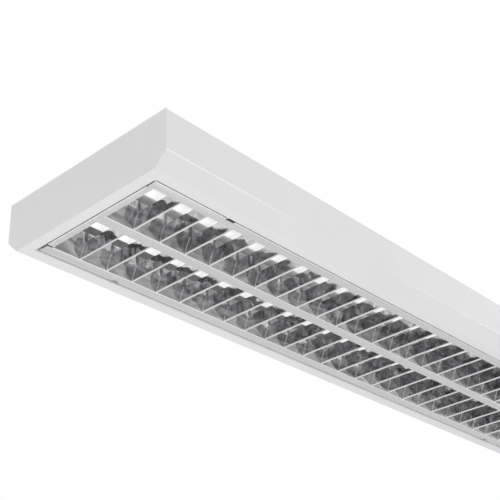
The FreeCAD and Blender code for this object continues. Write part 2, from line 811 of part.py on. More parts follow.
def folded_outline(middle, half_fold, radius, sink, rise, thickness):
    """A trough folded from one sheet, whose two walls lean apart on arcs centred below its bottom."""
    outer = radius + thickness
    top = louvre_z + rise
    base = half_fold + chord(radius, sink)
    wall, tip = base - chord(radius, sink + rise), base - chord(outer, sink + rise)
    toe, floor_z = base - chord(outer, sink + thickness), louvre_z + thickness
    left, right = (middle - base, louvre_z - sink), (middle + base, louvre_z - sink)
    corners = [(middle - wall, top), (middle - half_fold, louvre_z), (middle + half_fold, louvre_z),
               (middle + wall, top), (middle + tip, top), (middle + toe, floor_z),
               (middle - toe, floor_z), (middle - tip, top)]
    return corners, {0: (left, radius), 2: (right, radius), 4: (right, outer), 6: (left, outer)}


def wall_outline(edge, radius, sink, rise):
    """One mirror wall that rises from an edge and leans inwards, with an upright foot at its back."""
    outer = radius + foil
    base = edge - chord(radius, sink)
    foot = base + chord(outer, sink + foil)
    top = louvre_z + rise
    centre = (base, louvre_z - sink)
    corners = [(edge, louvre_z), (base + chord(radius, sink + rise), top),
               (base + chord(outer, sink + rise), top), (foot, louvre_z + foil), (foot, louvre_z)]
    return corners, {0: (centre, radius), 2: (centre, outer)}


def row_space(name, side_of, tab_heights=()):
    """The inside of one row between its mirror walls, less a gap, and wider where tabs pass them."""
    inner, outer = spine_y + blade_gap, flange_y - blade_gap
    rises = [of(0), *tab_heights, wing_rise]
    wall = [(outer - wing_lean(rise), louvre_z + rise) for rise in rises]
    if tab_heights:
        edge = wall[1][0] + blade_tab_reach
        wall[2:2] = [(edge, wall[1][1]), (edge, wall[2][1])]
    count = len(wall)
    corners = wall + [(inner + outer - y, z) for y, z in reversed(wall)]
    base, centre_z = chord(wing_radius, wing_sink), louvre_z - wing_sink
    left, right = (inner + base, centre_z), (outer - base, centre_z)
    arcs = {i: (right, wing_radius) for i in (0, count - 2)}
    arcs.update({i: (left, wing_radius) for i in (count, count * 2 - 2)})
    if side_of < 0:
        corners, arcs = flipped(corners, arcs)
    return profile(name, "YZ_Plane", -louvre_x, louvre_x * 2, corners, arcs)


def repeated(body):
    """Repeats a body's one feature at every blade."""
    doc.recompute()
    pattern = body.newObject("PartDesign::LinearPattern", body.Name + "_pattern")
    pattern.Originals = [body.Tip]
    sketch = next(item for item in body.Group if item.TypeId == "Sketcher::SketchObject")
    pattern.Direction = (sketch, ["H_Axis"])
    bind(pattern, Length=blade_step * (blade_count - 1), Occurrences=blade_count)
    body.Tip = pattern
    return body


def make_blade_slots():
    """The tools for the slots by which the blades' tabs go through the mirror walls."""
    middle = blade_step - cell_x
    low, high = blade_tab_low - blade_tab_play, blade_tab_high + blade_tab_play
    wide = [blade_fold / 2 + blade_lean(rise) + blade_tab_play for rise in (low, high)]
    return repeated(across("blade_slots", -louvre_y, louvre_y, [
        (middle - wide[0], louvre_z + low), (middle + wide[0], louvre_z + low),
        (middle + wide[1], louvre_z + high), (middle - wide[1], louvre_z + high)]))


def make_side(side_of, name, slots):
    """A long side of the louvre: the flat strip with its upstand, and the curved mirror wall."""
    corners, arcs = wall_outline(flange_y, wing_radius, wing_sink, wing_rise)
    path = [(louvre_y, louvre_z + upstand), (louvre_y, louvre_z), corners[-1]]
    if side_of < 0:
        path = mirrored(path)
        corners, arcs = flipped(corners, arcs)
    reach = louvre_x - side_short
    strip = profile(f"side_{name}_strip", "YZ_Plane", -reach, reach * 2, strip_outline(path, foil))
    steps = [(notch_length, notch_depth)]
    if side_of > 0:
        steps = [(hinge_notch, notch_depth), (notch_length, hinge_clear)]
    tools = []
    for length, depth in steps:
        y = span(side_of, louvre_y - depth, louvre_y + foil)
        z = (louvre_z - foil, louvre_z + upstand * 2)
        tools += [block("notch", (x - length / 2, x + length / 2), y, z) for x in hinge_spots()]
    node("louvre_side_" + name, cut(f"side_{name}_notched", strip, tools))
    wall = profile(f"wall_{name}_strip", "YZ_Plane", -reach, reach * 2, corners, arcs)
    node("louvre_wall_" + name, cut(f"wall_{name}_slotted", wall, [slots]))


def make_spine(slots):
    """The centre strip: a trough whose two walls are mirrors of the two rows."""
    corners, arcs = folded_outline(of(0), spine_y, wing_radius, wing_sink, wing_rise, foil)
    reach = cell_x - seam
    spine = profile("spine", "YZ_Plane", -reach, reach * 2, corners, arcs)
    node("louvre_spine", cut("spine_slotted", spine, [slots]))


def make_louvre_end(end, label, spaces):
    """An end strip with its upstand, close to the near side, and the mirror wall that closes each row."""
    path = end_path(end, [(louvre_x, louvre_z + upstand), (louvre_x, louvre_z), (cell_x, louvre_z)])
    reach = flange_y - wing_lean(upstand) - blade_gap
    strip = across(label + "_strip", -reach, reach, strip_outline(path, foil))
    plate_y = (blade_gap - flange_y, reach)
    plate = block(label + "_plate", span(end, cell_x, louvre_x), plate_y, (louvre_z, louvre_z + foil))
    corners, arcs = wall_outline(cell_x, blade_radius, blade_sink, blade_rise)
    if end < 0:
        corners, arcs = flipped(corners, arcs)
    wall = across(label + "_wall", -flange_y, flange_y, corners, arcs)
    walls = [common(label + "_row", wall, space) for space in spaces]
    node(label, fuse(label + "_whole", [strip, plate] + walls))


def make_blades(side_of, name):
    """The cross blades of one row: folded, curved on both faces, trimmed to the mirror walls, with tabs."""
    first = blade_step - cell_x
    corners, arcs = folded_outline(first, blade_fold / 2, blade_radius, blade_sink, blade_rise, blade_foil)
    low, high = span(side_of, spine_y - blade_tab_reach, flange_y + blade_tab_reach)
    blades = repeated(across(f"blades_{name}_set", low, high, corners, arcs))
    space = row_space("row_" + name, side_of, (blade_tab_low, blade_tab_high))
    node("louvre_blades_" + name, common(f"blades_{name}_trimmed", blades, space))


def make_louvre():
    slots = make_blade_slots()
    for side_of, name in ROWS:
        make_side(side_of, name, slots)
        make_blades(side_of, name)
    make_spine(slots)
    for end, name in ((-1, "front"), (1, "rear")):
        spaces = [row_space(f"end_row_{name}_{row}", side_of) for side_of, row in ROWS]
        make_louvre_end(end, f"louvre_{name}_end", spaces)


# Hinges on the far side and catches on the near side

def make_hinges():
    """Brackets that hook over the rim return, a pin in each, and the leaves on the louvre."""
    brackets, pins, leaves, rivets = [], [], [], []
    top = rim_return - height + clip_play
    back = opening_y + steel + clip_play
    cheek_start = hinge_ear / 2 + hinge_side_gap
    cheek_end = cheek_start + hinge_cheek
    half = hinge_cheek_width / 2
    for x in hinge_spots():
        parts = [block("hinge_bridge", (x - hinge_plate / 2, x + hinge_plate / 2),
                       (hinge_y - half, back + hinge_cheek), (top, top + hinge_cheek)),
                 block("hinge_back", (x - hinge_plate / 2, x + hinge_plate / 2), (back, back + hinge_cheek),
                       (top - spring_leg, top))]
        for low in (x + cheek_start, x - cheek_end):
            parts.append(block("hinge_cheek_plate", (low, low + hinge_cheek),
                               (hinge_y - half, hinge_y + half), (hinge_z, top)))
            parts.append(rod("hinge_cheek_round", "x", (low, hinge_y, hinge_z), half, hinge_cheek))
        hole = rod("hinge_hole", "x", (x - cheek_end - steel, hinge_y, hinge_z), hinge_pin / 2 + pin_fit,
                   (cheek_end + steel) * 2)
        rivet_holes = []
        for side_of in SIDES:
            rx = x + side_of * hinge_rivet_place
            rivet_holes.append(rod("bracket_rivet_hole", "y", (rx, back - steel, hinge_rivet_z),
                                   hinge_rivet / 2 + fit, hinge_cheek + steel * 2))
            ends = [opening_y - rivet_dome, opening_y, back + hinge_cheek]
            head, stem, tail = [(rx, y, hinge_rivet_z) for y in ends]
            rivets.append(fuse("hinge_rivet_whole", [
                rod("hinge_rivet_head", "y", head, hinge_rivet, rivet_dome),
                rod("hinge_rivet_stem", "y", stem, hinge_rivet / 2, back + hinge_cheek - opening_y),
                rod("hinge_rivet_tail", "y", tail, hinge_rivet, rivet_dome)]))
        brackets.append(cut("hinge_bracket", fuse("hinge_bracket_blank", parts), [hole] + rivet_holes))
        reach = cheek_end + pin_overhang
        pins.append(rod("hinge_pin_rod", "x", (x - reach, hinge_y, hinge_z), hinge_pin / 2, reach * 2))
        base = block("leaf_base_plate", (x - hinge_plate / 2, x + hinge_plate / 2),
                     (leaf_edge - leaf_base, leaf_edge), (leaf_seat, leaf_seat + foil * 2))
        ear = block("leaf_ear", (x - hinge_ear / 2, x + hinge_ear / 2), (leaf_edge - leaf_base, hinge_y),
                    (leaf_seat, leaf_seat + hinge_rise * 2))
        eye = rod("leaf_eye", "x", (x - hinge_ear / 2, hinge_y, hinge_z), hinge_rise, hinge_ear)
        bore = rod("leaf_bore", "x", (x - hinge_ear, hinge_y, hinge_z), hinge_pin / 2 + fit, hinge_ear * 2)
        leaves.append(cut("hinge_leaf", fuse("hinge_leaf_blank", [base, ear, eye]), [bore]))
    node("hinge_brackets", compound("hinge_bracket_pair", brackets))
    node("hinge_pins", compound("hinge_pin_pair", pins))
    node("hinge_rivets", compound("hinge_rivet_set", rivets))
    node("louvre_hinge_leaves", compound("hinge_leaf_pair", leaves))


def make_catches():
    """Spring clips over the near rim return, and the lugs of the louvre that they hold."""
    top = rim_return - height + clip_play
    back = opening_y + steel + clip_play
    front = opening_y - spring_stand
    nose_z = louvre_z - spring_steel
    nose = hinge_y + spring_nose
    tail = louvre_recess - louvre_gap
    path = [(-front, nose_z - tail), (-nose, nose_z), (-front, nose_z + tail * 2), (-front, top),
            (-back, top), (-back, top - spring_leg)]
    springs, lugs = [], []
    for x in hinge_spots():
        springs.append(profile("catch_spring", "YZ_Plane", x - spring_width / 2, spring_width,
                               strip_outline(path, spring_steel)))
        base = block("lug_base", (x - hinge_plate / 2, x + hinge_plate / 2),
                     (-leaf_edge, leaf_base - leaf_edge), (leaf_seat, leaf_seat + foil * 2))
        tongue = block("lug_tongue", (x - lug_width / 2, x + lug_width / 2),
                       (-hinge_y, leaf_base - leaf_edge), (leaf_seat, leaf_seat + foil * 2))
        lugs.append(fuse("catch_lug", [base, tongue]))
    node("catch_springs", compound("catch_spring_pair", springs))
    node("louvre_catch_lugs", compound("catch_lug_pair", lugs))


# Assembly

ENDS = (-1, 1)
SIDES = (-1, 1)
ROWS = ((-1, "near"), (1, "far"))

make_channel()
for end, name in ((-1, "front"), (1, "rear")):
    make_end_cap(end, name + "_end_cap")
    make_bracket(end, name + "_lampholder_bracket")
    for side_of, row in ROWS:
        make_holder(end, side_of, f"{row}_{name}_lampholder")
    make_ballast(end, name + "_ballast")
    make_starter(end, name + "_starter")
for side_of, row in ROWS:
    make_lamp(side_of, row + "_lamp")
make_fasteners()
make_gear_cover()
make_capacitor()
make_terminal_block()
make_grommet()
make_louvre()
make_hinges()
make_catches()
doc.recompute()

# Every object and every shape is sound before anything is written
for item in doc.Objects:
    if "Invalid" in item.State or "Error" in item.State:
        raise RuntimeError(f"{item.Name} failed: {item.State}")
for label, item in nodes.items():
    if item.Shape.isNull() or not item.Shape.isValid():
        raise RuntimeError(f"{label} has no valid shape")
os.makedirs("parts", exist_ok=True)
for label, item in nodes.items():
    item.Shape.exportStep(f"parts/{label}.step")
print(len(nodes), "nodes")
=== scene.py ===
import json
import math

import bmesh
import bpy
from mathutils import Matrix, Vector


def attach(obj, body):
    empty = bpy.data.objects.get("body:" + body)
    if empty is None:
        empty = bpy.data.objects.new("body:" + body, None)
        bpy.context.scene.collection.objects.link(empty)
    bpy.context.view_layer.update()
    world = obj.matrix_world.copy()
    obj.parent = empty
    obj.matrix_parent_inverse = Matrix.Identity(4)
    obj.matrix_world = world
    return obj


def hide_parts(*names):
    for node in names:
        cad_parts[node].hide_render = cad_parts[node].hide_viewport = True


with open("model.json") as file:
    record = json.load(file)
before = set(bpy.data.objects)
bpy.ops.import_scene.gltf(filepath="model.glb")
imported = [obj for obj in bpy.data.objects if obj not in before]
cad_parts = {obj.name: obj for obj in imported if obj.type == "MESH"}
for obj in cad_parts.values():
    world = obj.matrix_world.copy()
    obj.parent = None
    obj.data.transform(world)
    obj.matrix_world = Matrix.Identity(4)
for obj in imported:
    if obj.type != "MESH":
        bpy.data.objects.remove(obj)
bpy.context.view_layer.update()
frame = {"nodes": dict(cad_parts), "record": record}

MM = 0.001

# Sizes of the louvre, in millimetres; heights are above its bottom unless they are called Z.
# The outer edges leave a wider seam at the rim than the solids do, so that it shows dark
LOUVRE_X = 603.4
SIDE_X = {"near": 603.4, "far": 601.8}
LOUVRE_Y = {"near": 109.5, "far": 112.3}
LOUVRE_Z = -75.5
UPSTAND = 5.0

# Mirror walls and flat strips, as in the part's source
FLANGE_Y = 95.8
SPINE_Y = 8.5
CELL_X = 593.2
FOIL = 0.5
WING_RISE = 30.0
WING_RADIUS = 80.0
WING_SINK = 28.6

# Blades and their tabs, as in the part's source
BLADE_RISE = 20.5
BLADE_RADIUS = 400.0
BLADE_SINK = 31.5
BLADE_FOIL = 0.4
BLADE_FOLD = 1.8
BLADE_GAP = 0.3
BLADE_COUNT = 25
TAB_LOW = 11.0
TAB_HIGH = 17.0
TAB_REACH = 1.8

# Notches for the release on the near side and the hinges on the far side: half lengths and the Y
# they reach, from the widest step to the narrowest
NOTCH_X = 475.0
NOTCHES = {"near": ((7.5, 107.2),), "far": ((12.0, 111.3), (4.0, 107.3))}

# Detail that only the drawing has: rounded folds, blade edges and the lips at their ends; the edges
# and lips are near white, a painted highlight
FOLD_RADIUS = 1.1
BLADE_HIGHLIGHT_BAND = 2.0
LIP_WIDTH = 0.9
LIP_DEPTH = 0.2
LIP_ROOT = 0.2

# Bend of the housing's long sides; a painted highlight, a whiter line along it, fades in towards the
# front end
BEND_Z = -59.0
BEND_HIGHLIGHT_REACH = 0.8
BEND_HIGHLIGHT_FADE = (360.0, 500.0)

# Fineness of the meshes, and what counts as flat, upward or touching on them
WALL_STEPS = 32
FOLD_STEPS = 5
SHARP_ANGLE = math.radians(35)
CUT_ROOM = 1.0
TOUCH = 0.01
FLAT_NORMAL = -0.995
BACK_NORMAL = 0.02

# Material slots of a louvre sheet; slot 0 is the mirror, and the fold slot holds a painted highlight
FOLD_HIGHLIGHT_SLOT, FLAT_SLOT, BACK_SLOT = 1, 2, 3


# Mesh helpers

def outward_mesh(name, verts, faces):
    """A mesh in metres from millimetres, with its faces turned outwards."""
    mesh = bpy.data.meshes.new(name)
    mesh.from_pydata([[c * MM for c in v] for v in verts], [], faces)
    work = bmesh.new()
    work.from_mesh(mesh)
    bmesh.ops.recalc_face_normals(work, faces=work.faces)
    work.to_mesh(mesh)
    work.free()
    return mesh


def smooth(mesh):
    for polygon in mesh.polygons:
        polygon.use_smooth = True
    mesh.set_sharp_from_angle(angle=SHARP_ANGLE)


def louvre_piece(name, verts, faces, *nodes):
    """A new mirror piece in millimetres that rides on the louvre and stands for CAD nodes."""
    mesh = outward_mesh(name, verts, faces)
    smooth(mesh)
    mesh.materials.append(MIRROR)
    obj = bpy.data.objects.new(name, mesh)
    bpy.context.scene.collection.objects.link(obj)
    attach(obj, "louvre")
    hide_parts(*nodes)
    return obj


def merged(parts):
    """Several vertex and face lists as one."""
    verts, faces = [], []
    for v, f in parts:
        start = len(verts)
        verts += v
        faces += [tuple(i + start for i in face) for face in f]
    return verts, faces


def prism(outline, low, high):
    """An XY outline between two heights."""
    count = len(outline)
    verts = [(x, y, z) for z in (low, high) for x, y in outline]
    sides = [(i, (i + 1) % count, (i + 1) % count + count, i + count) for i in range(count)]
    return verts, sides + [tuple(range(count)), tuple(range(count, count * 2))]


def take_out(obj, tools):
    """Takes shapes in millimetres out of a piece's mesh."""
    tool = bpy.data.objects.new("tool", outward_mesh("tool", *merged(tools)))
    bpy.context.scene.collection.objects.link(tool)
    cut = obj.modifiers.new("cut", "BOOLEAN")
    cut.operation = "DIFFERENCE"
    cut.solver = "EXACT"
    cut.object = tool
    evaluated = obj.evaluated_get(bpy.context.evaluated_depsgraph_get())
    shape = bpy.data.meshes.new_from_object(evaluated)
    obj.modifiers.clear()
    before, tool_mesh = obj.data, tool.data
    obj.data = shape
    bpy.data.objects.remove(tool)
    for mesh in (before, tool_mesh):
        bpy.data.meshes.remove(mesh)
    shape.name = obj.name
    smooth(shape)


def finish_sheet(obj, fold_height):
    """Gives a louvre sheet's folded bottom edges a near-white painted highlight, and its flat strips
    and dull back their own finishes.
    """
    for material in (FOLD_HIGHLIGHT, FLAT, BACK):
        obj.data.materials.append(material)
    for polygon in obj.data.polygons:
        height = polygon.center.z / MM - LOUVRE_Z
        if polygon.normal.z > BACK_NORMAL:
            polygon.material_index = BACK_SLOT
        elif height < TOUCH and polygon.normal.z < FLAT_NORMAL:
            polygon.material_index = FLAT_SLOT
        elif height < fold_height:
            polygon.material_index = FOLD_HIGHLIGHT_SLOT


def chord(radius, height):
    return math.sqrt(radius ** 2 - height ** 2)


def arc(centre, radius, start, end, steps):
    """Points on an arc, angles in radians."""
    turns = [start + (end - start) * i / steps for i in range(steps + 1)]
    return [(centre[0] + radius * math.cos(t), centre[1] + radius * math.sin(t)) for t in turns]


def wall_path(edge, radius, sink, rise, fold):
    """From a flat bottom at the right, round the fold and up a wall that leans left as it rises."""
    centre = edge - chord(radius, sink)
    fold_y = centre + chord(radius + fold, fold + sink)
    meet = math.asin((fold + sink) / (radius + fold))
    top = math.asin((rise + sink) / radius)
    corner = arc((fold_y, fold), fold, -math.pi / 2, -math.pi + meet, FOLD_STEPS)
    return corner + arc((centre, -sink), radius, meet, top, WALL_STEPS)[1:]


def turned_edge(edge):
    """From the top of an outer edge's upstand down and round its fold to the flat bottom."""
    centre = (edge - FOLD_RADIUS, FOLD_RADIUS)
    return [(edge, UPSTAND)] + arc(centre, FOLD_RADIUS, 0, -math.pi / 2, FOLD_STEPS)


def thick(path, thickness):
    """The closed outline of a sheet: a path and the same path moved to its right."""
    back = []
    for i, (u, v) in enumerate(path):
        a = path[max(i - 1, 0)]
        b = path[min(i + 1, len(path) - 1)]
        du, dv = b[0] - a[0], b[1] - a[1]
        size = math.hypot(du, dv)
        back.append((u + dv / size * thickness, v - du / size * thickness))
    return path + back[::-1]


def bridged(loops):
    """Vertices and faces that join equal loops in a row, the end ones filled pair by pair."""
    count = len(loops[0])
    verts = [v for loop in loops for v in loop]
    faces = []
    for row in range(len(loops) - 1):
        for i in range(count):
            j = (i + 1) % count
            a, b = row * count, (row + 1) * count
            faces.append((a + i, a + j, b + j, b + i))
    last = (len(loops) - 1) * count
    for i in range(count // 2 - 1):
        k = count - 1 - i
        faces.append((k, k - 1, i + 1, i))
        faces.append((last + i, last + i + 1, last + k - 1, last + k))
    return verts, faces


# Material helpers

NOISE_SPAN = (0.3, 0.7)
MIX_A, MIX_B, MIX_RESULT = 6, 7, 2


def new_material(name, **sockets):
    material = bpy.data.materials.new(name)
    material.use_nodes = True
    shader = material.node_tree.nodes["Principled BSDF"]
    for socket, value in sockets.items():
        shader.inputs[socket.replace("_", " ")].default_value = value
    return material, material.node_tree, shader


def noise(tree, scale, detail=2, stretch=(1, 1, 1), swirl=0.0):
    """A noise texture over the part's own coordinates; scale is in waves per metre."""
    place = tree.nodes.new("ShaderNodeTexCoord")
    mapping = tree.nodes.new("ShaderNodeMapping")
    mapping.inputs["Scale"].default_value = stretch
    texture = tree.nodes.new("ShaderNodeTexNoise")
    texture.inputs["Scale"].default_value = scale
    texture.inputs["Detail"].default_value = detail
    texture.inputs["Distortion"].default_value = swirl
    tree.links.new(place.outputs["Object"], mapping.inputs["Vector"])
    tree.links.new(mapping.outputs["Vector"], texture.inputs["Vector"])
    return texture.outputs["Fac"]


def mapped(tree, source, span, low=0.0, high=1.0):
    """A number taken from one span to another."""
    node = tree.nodes.new("ShaderNodeMapRange")
    node.inputs["From Min"].default_value, node.inputs["From Max"].default_value = span
    node.inputs["To Min"].default_value = low
    node.inputs["To Max"].default_value = high
    tree.links.new(source, node.inputs["Value"])
    return node.outputs["Result"]


def gloss(tree, shader, source, low, high):
    """Sends a noise to the roughness between two limits."""
    tree.links.new(mapped(tree, source, NOISE_SPAN, low, high), shader.inputs["Roughness"])


def tint(tree, source, dark, light, socket):
    """Sends a noise to a colour socket between two colours."""
    ramp = tree.nodes.new("ShaderNodeValToRGB")
    for element, position, colour in zip(ramp.color_ramp.elements, NOISE_SPAN, (dark, light)):
        element.position = position
        element.color = (*colour, 1)
    tree.links.new(source, ramp.inputs["Fac"])
    tree.links.new(ramp.outputs["Color"], socket)


def bumps(tree, shader, *layers):
    """Chains bumps, each a dict of its height source, strength and depth in metres."""
    before = None
    for layer in layers:
        bump = tree.nodes.new("ShaderNodeBump")
        bump.inputs["Strength"].default_value = layer["strength"]
        bump.inputs["Distance"].default_value = layer["depth"]
        tree.links.new(layer["height"], bump.inputs["Height"])
        if before:
            tree.links.new(before, bump.inputs["Normal"])
        before = bump.outputs["Normal"]
    tree.links.new(before, shader.inputs["Normal"])


def number(tree, operation, *values):
    """A maths node; each value is a constant or another node's output."""
    node = tree.nodes.new("ShaderNodeMath")
    node.operation = operation
    for socket, value in zip(node.inputs, values):
        if isinstance(value, (int, float)):
            socket.default_value = value
        else:
            tree.links.new(value, socket)
    return node.outputs["Value"]


def grey(value, warm=0.0):
    return (value, value, value * (1 - warm))


# Materials

def painted_bend_highlight(tree):
    """Mask of the painted highlight: 1 on the bend of the long sides at the front end, fading to 0
    away from there.
    """
    place = tree.nodes.new("ShaderNodeTexCoord")
    axes = tree.nodes.new("ShaderNodeSeparateXYZ")
    tree.links.new(place.outputs["Object"], axes.inputs["Vector"])
    on_highlight_band = number(tree, "COMPARE", axes.outputs["Z"], BEND_Z * MM, BEND_HIGHLIGHT_REACH * MM)
    forward = number(tree, "MULTIPLY", axes.outputs["X"], -1)
    highlight_fade = mapped(tree, forward, [reach * MM for reach in BEND_HIGHLIGHT_FADE])
    return number(tree, "MULTIPLY", on_highlight_band, highlight_fade)


def enamel(name, with_bend_highlight=False):
    """White enamel; with the option on, it gets a painted highlight, a near-white line along the
    bend of the long sides.
    """
    material, tree, shader = new_material(name, IOR=1.5, Coat_Weight=0.4, Coat_Roughness=0.12)
    colour = shader.inputs["Base Color"]
    if with_bend_highlight:
        highlight_mix = tree.nodes.new("ShaderNodeMix")
        highlight_mix.data_type = "RGBA"
        # Painted highlight: the bend's colour goes near white
        highlight_mix.inputs[MIX_B].default_value = (*grey(0.97), 1)
        tree.links.new(painted_bend_highlight(tree), highlight_mix.inputs["Factor"])
        tree.links.new(highlight_mix.outputs[MIX_RESULT], colour)
        colour = highlight_mix.inputs[MIX_A]
    tint(tree, noise(tree, scale=9, detail=3), dark=grey(0.80), light=grey(0.83), socket=colour)
    gloss(tree, shader, noise(tree, scale=60, detail=3), low=0.36, high=0.46)
    bumps(tree, shader,
          dict(height=noise(tree, scale=650), strength=0.12, depth=0.00012),
          dict(height=noise(tree, scale=5, detail=1), strength=0.25, depth=0.0008))
    return material


def mirror(name):
    """Bright rolled sheet, a little wavy, with streaks and swirls in its shine."""
    material, tree, shader = new_material(name, Metallic=0.96)
    tint(tree, noise(tree, scale=50, detail=1, stretch=(0.3, 1, 1), swirl=2.0),
         dark=(0.34, 0.34, 0.35), light=(0.73, 0.73, 0.74), socket=shader.inputs["Base Color"])
    gloss(tree, shader, noise(tree, scale=120, detail=3, stretch=(0.1, 1, 1)), low=0.04, high=0.08)
    waves = noise(tree, scale=36, detail=1, stretch=(0.6, 1, 1))
    bumps(tree, shader,
          dict(height=waves, strength=1.0, depth=0.0018),
          dict(height=noise(tree, scale=110, detail=1), strength=0.4, depth=0.0003))
    return material


def phosphor(name):
    """A white coated tube that gives a little light of its own."""
    material, tree, shader = new_material(name, IOR=1.5, Coat_Weight=0.6, Coat_Roughness=0.03,
                                          Emission_Color=(1, 1, 1, 1), Emission_Strength=0.4)
    tint(tree, noise(tree, scale=25), dark=(0.86, 0.86, 0.85), light=(0.9, 0.9, 0.89),
         socket=shader.inputs["Base Color"])
    gloss(tree, shader, noise(tree, scale=140, detail=3), low=0.3, high=0.42)
    bumps(tree, shader, dict(height=noise(tree, scale=500), strength=0.05, depth=0.00005))
    return material


ROUGH_SPREAD = 0.15


def plain(name, light, dark, rough, metallic=0.0, scale=80, stretch=(1, 1, 1),
          grain=400, strength=0.1, depth=0.0001):
    """A material whose colour, gloss and relief all vary a little."""
    material, tree, shader = new_material(name, Metallic=metallic)
    tint(tree, noise(tree, scale, 3, stretch), dark, light, shader.inputs["Base Color"])
    gloss(tree, shader, noise(tree, scale * 2, stretch=stretch),
          rough * (1 - ROUGH_SPREAD), rough * (1 + ROUGH_SPREAD))
    height = noise(tree, grain, stretch=stretch)
    bumps(tree, shader, dict(height=height, strength=strength, depth=depth))
    return material


PLAIN_FINISHES = {
    "lamp_cap_metal": dict(light=grey(0.78), dark=grey(0.7), rough=0.32, metallic=1.0,
                           scale=200, stretch=(1, 0.2, 0.2), grain=600),
    "contact_brass": dict(light=(0.78, 0.62, 0.34), dark=(0.66, 0.5, 0.25), rough=0.3,
                          metallic=1.0, scale=300),
    "white_plastic": dict(light=grey(0.86), dark=grey(0.82), rough=0.3,
                          scale=60, grain=900, strength=0.05, depth=0.00005),
    "starter_plastic": dict(light=grey(0.8, 0.03), dark=grey(0.74, 0.03), rough=0.45,
                            scale=60, grain=900),
    "ballast_steel": dict(light=grey(0.3), dark=grey(0.2), rough=0.45, metallic=0.6, scale=120,
                          stretch=(1, 0.05, 0.3), grain=900, strength=0.4, depth=0.0003),
    "capacitor_can": dict(light=grey(0.76, 0.02), dark=grey(0.7, 0.02), rough=0.4),
    "zinc_steel": dict(light=grey(0.68), dark=grey(0.55), rough=0.35, metallic=1.0,
                       scale=250, grain=700, strength=0.2),
    # Spring steel near black: painted shade, so the slits where it shows at the louvre's edge read
    # dark
    "spring_steel": dict(light=grey(0.06), dark=grey(0.04), rough=0.4, metallic=0.6,
                         scale=250, stretch=(1, 1, 0.1), grain=500),
    "grommet_rubber": dict(light=grey(0.05), dark=grey(0.03), rough=0.7,
                           scale=150, grain=700, strength=0.3, depth=0.0002),
}

MATERIALS = {name: plain(name, **finish) for name, finish in PLAIN_FINISHES.items()}
for name, make in (("white_enamel", enamel), ("mirror_aluminium", mirror), ("lamp_glass", phosphor)):
    MATERIALS[name] = make(name)

# Enamel with a painted highlight along the bend of the long sides
BEND_HIGHLIGHT_ENAMEL = enamel("bend_highlight_enamel", with_bend_highlight=True)
# Near-black finish for the catch lugs: painted shade, so the release notch reads as a dark slit
NOTCH_SHADE_BLACK = plain("notch_shade_black", light=grey(0.06), dark=grey(0.04), rough=0.4, metallic=0.6,
                   scale=250, grain=700, strength=0.2)
MIRROR = MATERIALS["mirror_aluminium"]
ROLLED = (0.1, 1, 1)
FLAT = plain("mirror_flat", light=grey(0.79), dark=grey(0.75), rough=0.26, metallic=0.5,
             scale=60, stretch=ROLLED, grain=300)
# Painted highlight: folds, blade bottoms and lips get a near-white, duller finish that stands in for
# the light they catch
FOLD_HIGHLIGHT = plain("mirror_fold_highlight", light=grey(0.97), dark=grey(0.93), rough=0.25, metallic=0.2,
             scale=300, stretch=ROLLED, grain=900)
BACK = plain("mirror_back", light=grey(0.94), dark=grey(0.9), rough=0.5,
             scale=120, stretch=ROLLED, grain=500, strength=0.2)

# Every CAD node takes the finish of its slot, and two of them a variant of it; the housing channel's
# variant has a painted highlight along its bend
for row in frame["record"]["subparts"]:
    mesh = frame["nodes"][row["node"]].data
    mesh.materials.clear()
    mesh.materials.append(MATERIALS[row["material_slot"]])
frame["nodes"]["housing_channel"].data.materials[0] = BEND_HIGHLIGHT_ENAMEL
# Catch lugs near black: painted shade in the release notch
frame["nodes"]["louvre_catch_lugs"].data.materials[0] = NOTCH_SHADE_BLACK


# Louvre: finer sheets with rounded folds in place of the CAD ones

def raised(loop):
    """Points with heights above the louvre's bottom, in the part's frame."""
    return [(x, y, height + LOUVRE_Z) for x, y, height in loop]


def along_x(outline, x_low, x_high, flip=1):
    """A YZ outline run along X; flip mirrors it in Y."""
    return bridged([raised((x, flip * y, z) for y, z in outline) for x in (x_low, x_high)])


def along_y(outline, y_low, y_high):
    """An XZ outline run along Y."""
    return bridged([raised((x, y, z) for x, z in outline) for y in (y_low, y_high)])


def wing(edge):
    return wall_path(edge, WING_RADIUS, WING_SINK, WING_RISE, FOLD_RADIUS)


def wing_lean(height):
    return chord(WING_RADIUS, WING_SINK) - chord(WING_RADIUS, WING_SINK + height)


def wall_limits(height):
    """The two Y limits of a row at a height, less the blades' gap."""
    lean = wing_lean(height)
    return SPINE_Y + BLADE_GAP + lean, FLANGE_Y - BLADE_GAP - lean


def across_row(outline, flip):
    """An XZ outline run across a row, each point as far as the mirror walls at its height."""
    limits = [wall_limits(max(z, 0.0)) for x, z in outline]
    return bridged([raised((x, flip * limit[side], z) for (x, z), limit in zip(outline, limits))
                    for side in (0, 1)])


def notch_outline(x, flip, edge, steps):
    """The outline of a notch in a side strip, cut in from its edge step by step."""
    half = []
    for length, depth in steps:
        half += [(length, edge), (length, depth)]
        edge = depth
    left = [(x - u, flip * y) for u, y in half]
    return left + [(x + u, flip * y) for u, y in reversed(half)]


def wing_ends(reach):
    """What is cut off the far mirror wall beyond the cells, at both ends."""
    bend = wing(FLANGE_Y)[0][0]
    corners = ((CELL_X, 0), (reach, 0), (reach, bend), (CELL_X, bend))
    low, high = LOUVRE_Z - CUT_ROOM, LOUVRE_Z + WING_RISE + CUT_ROOM
    return [prism([(end * x, y) for x, y in corners], low, high) for end in (-1, 1)]


